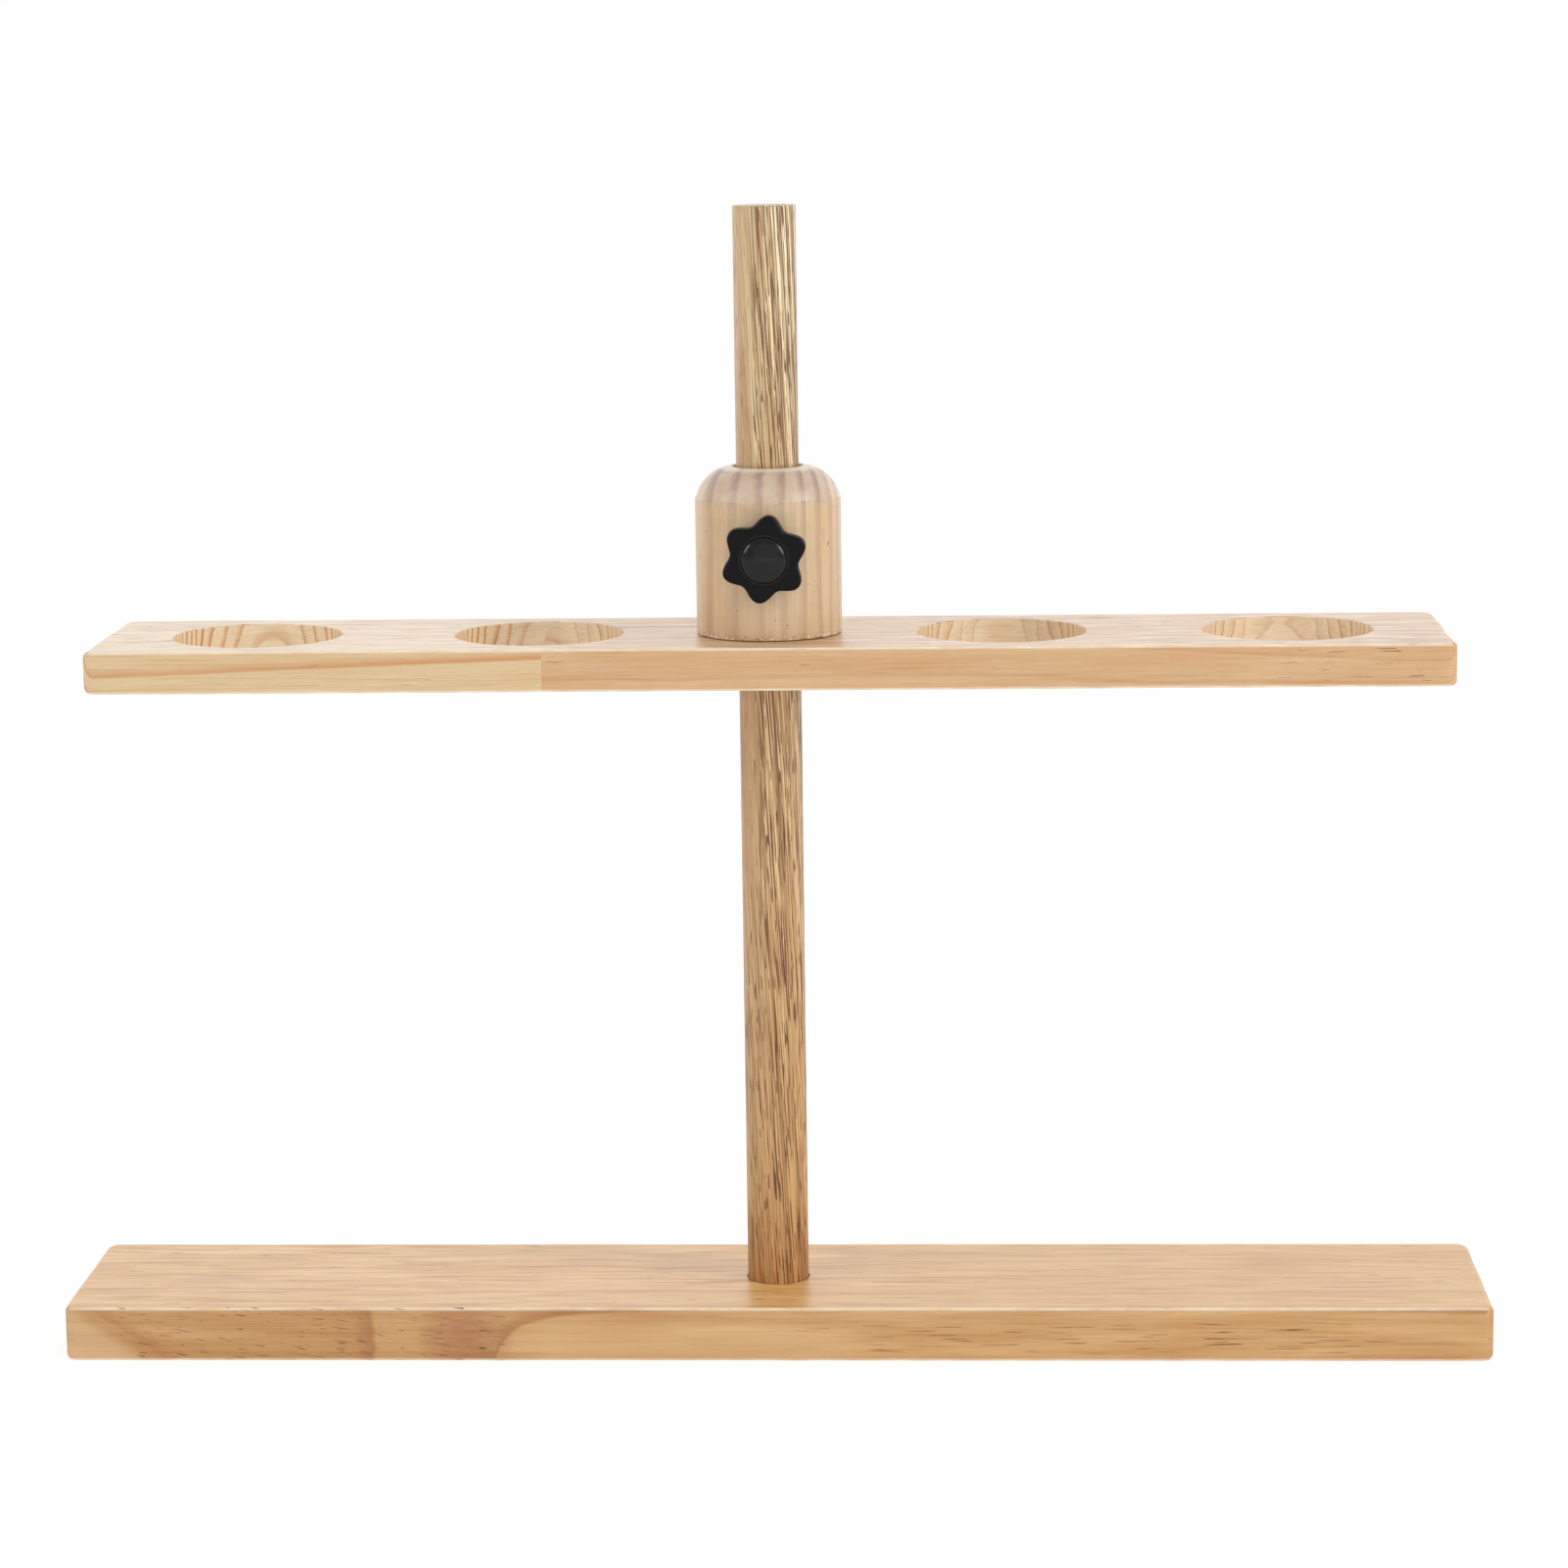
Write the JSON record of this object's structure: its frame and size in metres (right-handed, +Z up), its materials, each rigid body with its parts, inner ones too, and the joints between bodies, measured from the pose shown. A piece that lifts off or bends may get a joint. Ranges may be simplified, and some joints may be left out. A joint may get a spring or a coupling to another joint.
{
  "type": "adjustable four-hole bench stand",
  "caption": "Wooden bench stand: base board, round post and a clamped, height-adjustable shelf board with tapered holes for bottles, jars or funnels.",
  "frame": {"origin": "centre of the base board's underside, on the post's axis", "axes": "+Z up along the post, +X along the boards, the star knob points along -Y"},
  "size_m": [0.46, 0.072, 0.367],
  "materials": {
    "base_pine": "sanded pine, thin clear satin coat",
    "shelf_pine_left": "sanded pine, thin clear satin coat",
    "shelf_pine_right": "sanded pine, thin clear satin coat",
    "collar_pine": "turned pine, thin clear satin coat",
    "post_hardwood": "open-pored hardwood dowel, clear satin coat",
    "black_plastic": "moulded, glossy",
    "zinc_steel": "zinc plated",
    "insert_brass": "machined"
  },
  "bodies": {
    "base": {"base_board": "base_pine"},
    "post": {"post": "post_hardwood", "post_screw": "zinc_steel"},
    "shelf": {"shelf_board_left": "shelf_pine_left", "shelf_board_right": "shelf_pine_right", "clamp_collar": "collar_pine", "collar_screw_left": "zinc_steel", "collar_screw_right": "zinc_steel", "threaded_insert": "insert_brass"},
    "clamp_stud": {"clamp_stud": "zinc_steel"},
    "knob": {"star_knob": "black_plastic"}
  },
  "joints": [
    {"name": "shelf_swivel", "type": "hinge", "parent": "base", "child": "post", "pos_m": [0, 0, 0], "axis": [0, 0, 1], "continuous": true},
    {"name": "shelf_slide", "type": "slide", "parent": "post", "child": "shelf", "axis": [0, 0, 1], "range_m": [-0.2, 0.082]},
    {"name": "stud_feed", "type": "slide", "parent": "shelf", "child": "clamp_stud", "axis": [0, -1, 0], "range_m": [0, 0.005]},
    {"name": "knob_turn", "type": "hinge", "parent": "clamp_stud", "child": "knob", "pos_m": [0, -0.03, 0.2585], "axis": [0, -1, 0], "range_deg": [0, 1800]}
  ],
  "couplings": [
    {"joint": "stud_feed", "follows": "knob_turn", "m_per_rad": 0.00015915}
  ]
}
